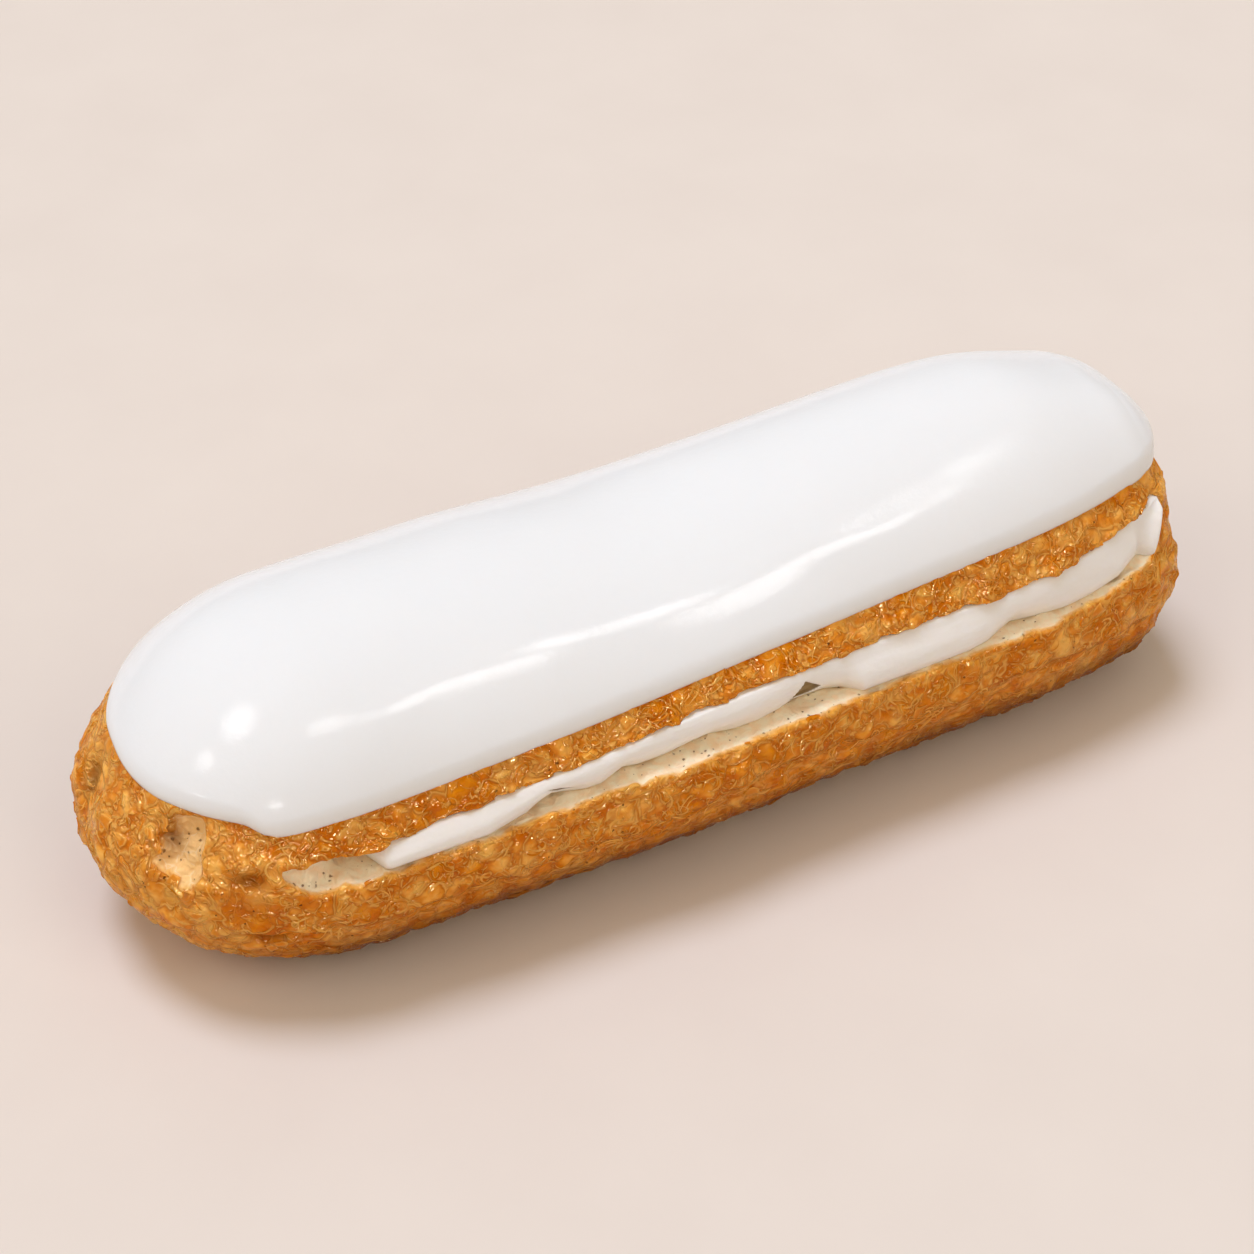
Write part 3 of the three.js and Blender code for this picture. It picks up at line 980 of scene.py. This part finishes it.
def trace(tree, place, ahead, bend, twist, steps, stride):
    """Points and outward directions of curls that follow the crust, all curls step by step."""
    path, ups = [], []
    for i in range(steps + 1):
        place = ground_under(tree, place)
        up = outward(*place.T)
        ahead = unit(ahead - up * (ahead * up).sum(-1, keepdims=True))
        path.append(place)
        ups.append(up)
        turn = ((bend + twist * i) * stride)[:, None]
        ahead = ahead * np.cos(turn) + np.cross(up, ahead) * np.sin(turn)
        place = place + ahead * stride
    return np.stack(path, 1), np.stack(ups, 1)


def write_growth(name, points, faces, tones):
    """A mesh of what stands on the crust, with what its material reads: tone, rest place and painted shade
    near the foot.
    """
    points = np.concatenate(points)
    thing = write_mesh(name, points, np.concatenate(faces))
    store(thing, "tone", np.concatenate(tones))
    store(thing, "rest", points)
    store(thing, "shade", painted_foot_shade(points[:, 0], points[:, 2]))
    return thing


def make_threads(choux, name, count, steps, stride, width, height, seed):
    """Curled ridges with a three-sided section, sunk a little into the crust."""
    rng = np.random.default_rng(seed)
    start = random_places(choux, count, rng)
    ahead = unit(np.cross(outward(*start.T), rng.normal(size=(count, 3))))
    side = np.cross(outward(*start.T), ahead)
    bend = rng.choice([-1, 1], count) * rng.uniform(0.15, 1.5, count)
    twist = rng.normal(0, 0.09, count)
    # Every third curl runs beside the one before it, at the same turn
    follower = np.arange(2, count, 3)
    leader = follower - 1
    start[follower] = start[leader] + THREADS_APART * side[leader]
    ahead[follower] = ahead[leader]
    bend[follower] = bend[leader] / (1 - np.clip(THREADS_APART * bend[leader], -3, 0.6))
    twist[follower] = twist[leader]

    tree = BVHTree.FromObject(choux, bpy.context.evaluated_depsgraph_get())
    path, up = trace(tree, start, ahead, bend, twist, steps, stride)
    length = rng.integers(steps // 2, steps + 1, count)
    x, y, z = np.moveaxis(path, -1, 0)
    under = outline_depth(x, y, z) - crust_depth(x, y, z)
    clear = (np.abs(under) < 0.55) & (z < icing_edge(x, y) - 0.15) & (z > 0.5)
    jumps = np.linalg.norm(np.diff(path, axis=1), axis=-1).max(axis=1) < 2 * stride
    used = np.arange(steps + 1)[None, :] <= length[:, None]
    # Fewer curls are kept at the left end and on the lower band
    calm = 0.35 * smoothstep(-start[:, 0], 44, 54)
    calm = np.maximum(calm, 0.5 * (start[:, 2] < crease_height(start[:, 0]) - 1))
    kept = (clear | ~used).all(axis=1) & jumps & (rng.random(count) > calm)

    faces, points, tones = [], [], []
    first = 0
    for i in np.flatnonzero(kept):
        n = length[i] + 1
        line, rise = path[i, :n], up[i, :n]
        line = np.concatenate([line[:1], (line[:-2] + line[1:-1] + line[2:]) / 3, line[-1:]])
        across = unit(np.cross(rise, np.gradient(line, axis=0)))
        swell = np.sin(math.pi * (np.arange(n) + 0.35) / (n - 0.3))[:, None] ** 0.5
        thick = rng.uniform(0.75, 1.2)
        half = across * (width / 2 * swell * thick)
        sunk = rise * THREAD_SINK
        ring = np.stack([line - half - sunk, line + rise * (height * swell * thick), line + half - sunk], 1)
        points.append(ring.reshape(-1, 3))
        tones.append(np.full(3 * n, rng.random()))
        rows = first + 3 * np.arange(n - 1)[:, None]
        for a, b in ((0, 1), (1, 2), (2, 0)):
            faces.append(rows + np.array([a, b, b + 3, a + 3]))
        last = first + 3 * (n - 1)
        ends = [[first, first + 2, first + 1, first + 1], [last, last + 1, last + 2, last + 2]]
        faces.append(np.array(ends))
        first += 3 * n
    return write_growth(name, points, faces, tones)


# Flakes: thin scales of crust that lift at one side


def make_flakes(choux, name, groups, seed):
    """Scales at the places of each group, which gives places, pointing directions, size and lift."""
    rng = np.random.default_rng(seed)
    tree = BVHTree.FromObject(choux, bpy.context.evaluated_depsgraph_get())
    turn = np.arange(FLAKE_CORNERS) * 2 * math.pi / FLAKE_CORNERS
    points, tones, faces = [], [], []
    first = 0
    for places, ahead, size, lift in groups:
        for place, forward in zip(places, ahead):
            up = outward(*place)
            forward = unit(forward - up * (forward @ up))
            side = np.cross(up, forward)
            large = size * rng.uniform(0.6, 1.3)
            radius = large * rng.uniform(0.4, 1.25, FLAKE_CORNERS)
            around = turn + rng.uniform(-0.2, 0.2, FLAKE_CORNERS)
            rings = []
            for share, drop, tone in FLAKE_RINGS:
                a = 1.25 * radius * share * np.cos(around)
                b = 0.85 * radius * share * np.sin(around)
                ground = ground_under(tree, place + forward * a[:, None] + side * b[:, None])
                height = 0.03 + lift * smoothstep(a / large, -0.9, 1.1)
                rings.append(ground + outward(*ground.T) * (height - drop)[:, None])
                tones.append(np.full(FLAKE_CORNERS, tone) * rng.uniform(0.8, 1.1))
            points.append(np.concatenate(rings))
            index = first + np.arange(len(rings) * FLAKE_CORNERS).reshape(len(rings), FLAKE_CORNERS)
            faces.append(quads_between(index))
            first += index.size
    thing = write_growth(name, points, faces, tones)
    weld(thing, FLAKE_WELD)
    thing.data.shade_smooth()
    return thing


def skin_place(x, side, z, depth):
    """Points on the crust's side, a depth inside the full outline."""
    return np.stack([x, bow(x) + side * (half_width_at(x, z) - depth), z], -1)


def flake_groups(choux, seed):
    """Where the flakes are: at the left end, round the torn place and along both rims of the slit."""
    rng = np.random.default_rng(seed)
    shaggy = random_places(choux, 1500, rng)
    shaggy = shaggy[rng.random(len(shaggy)) < 0.1 * smoothstep(-shaggy[:, 0], 34, 58) + 0.03]
    clear = (inside_tear(*shaggy.T) < -0.6) & (shaggy[:, 2] < icing_edge(*shaggy.T[:2]) - 0.8)
    shaggy = shaggy[clear & (shaggy[:, 2] > 3)]
    groups = [(shaggy, rng.normal(size=shaggy.shape), 0.95, 0.13)]
    centre = np.array(TEAR_CENTRE)
    across, rise = tear_directions()[:2]
    corners = [(a, b) for a, b in TEAR_OUTLINE if a < 2.5 and b < 4]
    for size, lift, further in ((0.95, 0.4, 1.12), (0.7, 0.25, 1.3)):
        places = np.array([centre + further * (across * a + rise * b) for a, b in corners])
        ahead = np.array([0.8 * across - rise * (0.4 if b > 0 else -0.9) for a, b in corners])
        groups.append((places, ahead, size, lift))
    for count, height, offset, pointing, size in ((240, 0, -0.3, 1, 0.42), (120, 1, 0.3, -1, 0.36)):
        x = rng.uniform(SLIT_START + 1, RIM_RISE_START, count)
        side = np.where(rng.random(count) < 0.55, -1, 1)
        z = slit_heights(x)[height] + offset
        place = skin_place(x, side, z, 0.15 + 0.6 * height)
        ahead = np.stack([rng.normal(0, 0.8, count), 0 * x, np.full(count, 1.0 * pointing)], -1)
        groups.append((place, ahead, size, 0.15))
    return groups


# Colours and gloss


def new_material(name):
    material = bpy.data.materials.new(name)
    material.use_nodes = True
    return material, Graph(material.node_tree), material.node_tree.nodes["Principled BSDF"]


def choux_material():
    material, graph, shader = new_material("choux_baked")
    place = graph.kept("rest", "Vector")
    names = ("crumb", "band", "underside", "rim", "shade", "crease", "hollow", "toasted", "plate")
    crumb, band, underside, rim, shade, crease, hollow, toasted, plate = (graph.kept(name) for name in names)
    lines, tones, border, _, relief = crust_pattern(graph, place)

    # Crust: amber and tan in patches, tan at both ends, paler lines between plates and painted shade beside
    # them
    patch = graph.noise(place, 0.55, away=(7.0, 3.0, 21.0))
    patched = graph.step(patch, 0.3, 0.7)
    amber = graph.mix(patched, srgb(216, 114, 0), srgb(242, 150, 10))
    tan = graph.mix(patched, srgb(244, 158, 48), srgb(255, 192, 96))
    x = graph.parts(place)[0]
    left_end = graph.times(graph.step(x, -53.0, -63.0), 0.17)
    right_end = graph.times(graph.step(x, 46.0, 60.0), 0.12)
    cloud = graph.noise(place, 0.16, 3.0)
    dull = graph.plus(cloud, graph.times(tones[2], 0.22), graph.times(patch, 0.5), left_end, right_end)
    crust = graph.mix(graph.step(dull, 0.7, 1.12), amber, tan)
    crust = graph.tint(crust, plate, 0.5, srgb(206, 118, 26))
    open_plates = graph.minus(1.0, graph.times(plate, 0.8))
    # Painted shade along the plates' borders, beside the raised lines
    seams = graph.times(graph.step(border, 0.22, 0.02), open_plates)
    crust = graph.tint(crust, seams, 0.45, srgb(184, 88, 0))
    # Painted shade along the crease above the lower band
    crust = graph.tint(crust, crease, 0.4, srgb(150, 70, 2))
    fainter = graph.times(graph.minus(0.6, graph.times(band, 0.3)), open_plates)
    crust = graph.tint(crust, lines, fainter, srgb(255, 202, 106))
    streaks = graph.noise(graph.vector("MULTIPLY", place, (0.3, 0.3, 2.2)), 1.0, 3.0)
    crust = graph.tint(crust, graph.times(graph.step(streaks, 0.5, 0.66), band), 0.5, srgb(238, 170, 92))
    crust = graph.tint(crust, rim, 0.55, srgb(255, 188, 84))
    # Painted shade near the foot, where the crust turns under towards the floor
    crust = graph.tint(crust, shade, 0.9, srgb(118, 56, 0))

    # Pores in some places of the crust, dark inside with painted shade
    pore = graph.cells(graph.shift(place, 1.0, 0.8, 31.0), 1.1)
    chosen = graph.step(graph.parts(pore["Color"])[0], 0.78, 0.8)
    spots = graph.step(graph.noise(place, 0.25, 1.0, away=(5.0, 2.0, 8.0)), 0.46, 0.58)
    hole = graph.times(graph.step(pore["Distance"], 0.2, 0.12), chosen, spots)
    crust = graph.tint(crust, hole, 0.85, srgb(96, 40, 4))
    # Painted shade in the fold, the slot, the crack and the torn place's deeper side
    crust = graph.tint(crust, hollow, 0.75, srgb(120, 62, 10))

    # Crumb: pale, yellower at its edge and in the torn place, with facets and small cavities
    mottle = graph.noise(place, 0.8, 4.0)
    bread = graph.mix(graph.step(mottle, 0.3, 0.7), srgb(255, 226, 190), srgb(255, 242, 216))
    bread = graph.tint(bread, graph.step(crumb, 0.98, 0.6), 0.5, srgb(252, 204, 110))
    bread = graph.tint(bread, toasted, 0.75, srgb(248, 196, 112))
    facet = graph.edges(graph.shift(place, 0.9, 0.9, 51.0), 0.62)
    pale = graph.times(graph.step(facet, 0.07, 0.0), graph.step(mottle, 0.42, 0.55))
    bread = graph.tint(bread, pale, 0.3, srgb(255, 246, 222))
    # Painted shade on the torn place's deeper side
    bread = graph.tint(bread, hollow, 0.85, srgb(150, 92, 38))
    void = graph.cells(graph.shift(place, 1.4, 0.5, 41.0), 1.4)
    picked = graph.parts(void["Color"])
    larger = graph.times(graph.math("POWER", picked[2], 2.0), 0.2)
    widest = graph.plus(0.1, graph.times(toasted, 0.08), larger)
    cavity = graph.step(graph.math("DIVIDE", void["Distance"], widest), 1.0, 0.5)
    cavity = graph.times(cavity, graph.step(picked[1], 0.5, 0.55))
    # Painted shade inside the small cavities
    bread = graph.tint(bread, cavity, 0.75, srgb(118, 70, 26))

    baked = graph.mix(graph.noise(place, 0.3, 4.0), srgb(160, 84, 18), srgb(200, 122, 44))
    rough = graph.plus(0.1, graph.times(graph.noise(place, 1.6), 0.16))
    bubbles = graph.times(graph.minus(0.6, graph.step(facet, 0.0, 0.4)), 0.7)
    crumbs = graph.minus(graph.minus(mottle, cavity), bubbles)
    crusts = graph.minus(graph.plus(relief, graph.times(graph.noise(place, 3.0), 0.12)), hole)
    height = graph.node("ShaderNodeMix", {0: crumb, 2: crusts, 3: crumbs}, data_type="FLOAT").outputs[0]
    graph.fill(shader, {
        "Base Color": graph.mix(underside, graph.mix(crumb, crust, bread), baked),
        "Roughness": graph.math("MAXIMUM", rough, graph.times(crumb, 0.45)),
        "Specular IOR Level": 0.07,
        "Subsurface Weight": 0.2,
        "Subsurface Radius": (1.0, 0.8, 0.6),
        "Subsurface Scale": 0.9 * MM,
        "Normal": graph.bump(height, 0.22, 1.0),
    })
    return material


def thread_material():
    material, graph, shader = new_material("choux_threads")
    place = graph.kept("rest", "Vector")
    cloud = graph.times(graph.noise(place, 0.5), 0.6)
    cloud = graph.plus(cloud, graph.times(graph.kept("tone"), 0.6))
    colour = graph.mix(graph.step(cloud, 0.3, 0.95), srgb(230, 130, 10), srgb(255, 190, 94))
    graph.fill(shader, {
        # Painted shade near the foot, as on the crust
        "Base Color": graph.tint(colour, graph.kept("shade"), 0.8, srgb(128, 62, 2)),
        "Roughness": 0.15,
        "Specular IOR Level": 0.1,
        "Subsurface Weight": 0.2,
        "Subsurface Radius": (1.0, 0.8, 0.6),
        "Subsurface Scale": 0.7 * MM,
        "Normal": graph.bump(graph.noise(place, 3.0), 0.1, 0.7),
    })
    return material


def local_place(graph):
    """Place in millimetres on a piece that keeps its own coordinates."""
    own = graph.node("ShaderNodeTexCoord").outputs["Object"]
    return graph.vector("SCALE", own, scale=1 / MM)


def cream_material():
    material, graph, shader = new_material("cream_soft")
    place = local_place(graph)
    streak = graph.noise(graph.vector("MULTIPLY", place, (0.25, 0.25, 1.2)), 1.0, 3.0)
    colour = graph.mix(streak, srgb(248, 246, 244), srgb(254, 254, 255))
    # Painted shade for the opening and the crease in the filling's front
    deep = graph.mix(graph.noise(place, 0.5, 1.0), srgb(96, 72, 34), srgb(168, 142, 96))
    height = graph.plus(streak, graph.times(graph.noise(place, 1.6, 3.0), 0.5))
    graph.fill(shader, {
        "Base Color": graph.mix(graph.step(graph.kept("hollow"), -0.08, 0.1), colour, deep),
        "Roughness": 0.34,
        "Subsurface Weight": 0.2,
        "Subsurface Radius": (1.0, 0.8, 0.6),
        "Subsurface Scale": 1.2 * MM,
        "Normal": graph.bump(height, 0.18, 0.6),
    })
    return material


def icing_material():
    material, graph, shader = new_material("icing_gloss")
    place = local_place(graph)
    right_end = graph.times(graph.step(graph.parts(place)[0], 27.0, 40.0), 0.12)
    graph.fill(shader, {
        "Base Color": graph.mix(graph.noise(place, 0.12, 3.0), srgb(242, 246, 253), srgb(245, 249, 255)),
        "Roughness": graph.plus(0.07, graph.times(graph.noise(place, 0.9, 4.0), 0.06), right_end),
        "Subsurface Weight": 0.3,
        "Subsurface Radius": (1.0, 0.9, 0.85),
        "Subsurface Scale": 1.5 * MM,
        "Normal": graph.bump(graph.times(graph.noise(place, 1.3, 4.0, 0.6), 0.5), 0.05, 0.8),
    })
    return material


def floor_material():
    material, graph, shader = new_material("floor_paper")
    cloud = graph.noise(local_place(graph), 0.05, 4.0)
    graph.fill(shader, {
        "Base Color": graph.mix(cloud, srgb(227, 217, 210), srgb(233, 224, 217)),
        "Roughness": 0.9,
        "Specular IOR Level": 0.1,
    })
    return material


# Stage


def view_directions(azimuth, elevation):
    """Back, right and up of a view from an azimuth and elevation in degrees."""
    a, e = math.radians(azimuth), math.radians(elevation)
    back = Vector((math.sin(a) * math.cos(e), -math.cos(a) * math.cos(e), math.sin(e)))
    right = Vector((math.cos(a), math.sin(a), 0))
    return back, right, back.cross(right)


def put(name, data, azimuth, elevation, target=(0, 0, 0), distance=0.0):
    """A camera or lamp at a distance from a target, in metres, that looks at it."""
    thing = bpy.data.objects.new(name, data)
    bpy.context.scene.collection.objects.link(thing)
    back, right, up = view_directions(azimuth, elevation)
    facing = Matrix((right, up, back)).transposed().to_4x4()
    thing.matrix_world = Matrix.Translation(Vector(target) + back * distance) @ facing
    return thing


def make_camera():
    data = bpy.data.cameras.new("camera")
    data.sensor_width = SENSOR
    data.lens = FOCAL_PIXELS / IMAGE_PIXELS * SENSOR
    data.clip_start = 0.01
    target = Vector(CAMERA_TARGET) * MM
    bpy.context.scene.camera = put(
        "camera", data, CAMERA_AZIMUTH, CAMERA_ELEVATION, target, CAMERA_DISTANCE * MM
    )


def make_highlight(name, azimuth, elevation, distance, size, power):
    """A near light that only gives highlights."""
    light = bpy.data.lights.new(name, "AREA")
    light.shape = "ELLIPSE"
    light.size, light.size_y = size
    light.energy = power
    put(name, light, azimuth, elevation, distance=distance).visible_diffuse = False


def make_sun(name, azimuth, elevation, softness, energy, colour):
    sun = bpy.data.lights.new(name, "SUN")
    sun.energy = energy
    sun.angle = math.radians(softness)
    sun.color = colour
    return put(name, sun, azimuth, elevation)


def make_sparkle(name, azimuth, elevation, energy, pieces):
    """A small distant light that only gives highlights, and only on some pieces."""
    lamp = make_sun(name, azimuth, elevation, SPARKLE_SOFTNESS, energy, SPARKLE_COLOUR)
    lamp.visible_diffuse = False
    lit = bpy.data.collections.new(name)
    for piece in pieces:
        lit.objects.link(piece)
    lamp.light_linking.receiver_collection = lit


def make_stage(crusts):
    half = FLOOR_HALF_SIZE
    corners = np.array([(-half, -half, 0), (half, -half, 0), (half, half, 0), (-half, half, 0)])
    floor = write_mesh("floor", corners, np.array([[0, 1, 2, 3]]))
    floor.data.materials.append(floor_material())

    world = bpy.data.worlds.new("room")
    world.use_nodes = True
    graph = Graph(world.node_tree)
    way = graph.node("ShaderNodeTexCoord").outputs["Generated"]
    upward = graph.vector("DOT_PRODUCT", way, ROOM_UPWARD, output="Value")
    room = graph.mix(graph.step(upward, -0.1, 0.9), ROOM_FRONT, ROOM_ABOVE)
    graph.fill(world.node_tree.nodes["Background"], {"Color": room})
    bpy.context.scene.world = world

    for name, azimuth, elevation, softness, strength, colour in SUNS:
        energy = strength * math.pi / math.sin(math.radians(elevation))
        make_sun(name, azimuth, elevation, softness, energy, colour).visible_glossy = False
    for highlight in HIGHLIGHTS:
        make_highlight(*highlight)
    for sparkle in SPARKLES:
        make_sparkle(*sparkle, crusts)


def finish_piece(piece, material, node=None):
    piece.data.materials.clear()
    piece.data.materials.append(material)
    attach(piece, "root")
    if node:
        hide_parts(node)


make_camera()
choux = make_choux()
crust_relief(choux)
finish_piece(choux, choux_material(), "choux")
crusts = [make_threads(choux, *growth) for growth in THREADS]
crusts.append(make_flakes(choux, "crust_flakes", flake_groups(choux, seed=8), seed=9))
growth_material = thread_material()
for thing in crusts:
    finish_piece(thing, growth_material)
finish_piece(make_cream(), cream_material(), "cream")
finish_piece(make_icing(), icing_material(), "icing")
make_stage((choux, *crusts))

view = bpy.context.scene.view_settings
view.view_transform = "Standard"
view.look = "None"
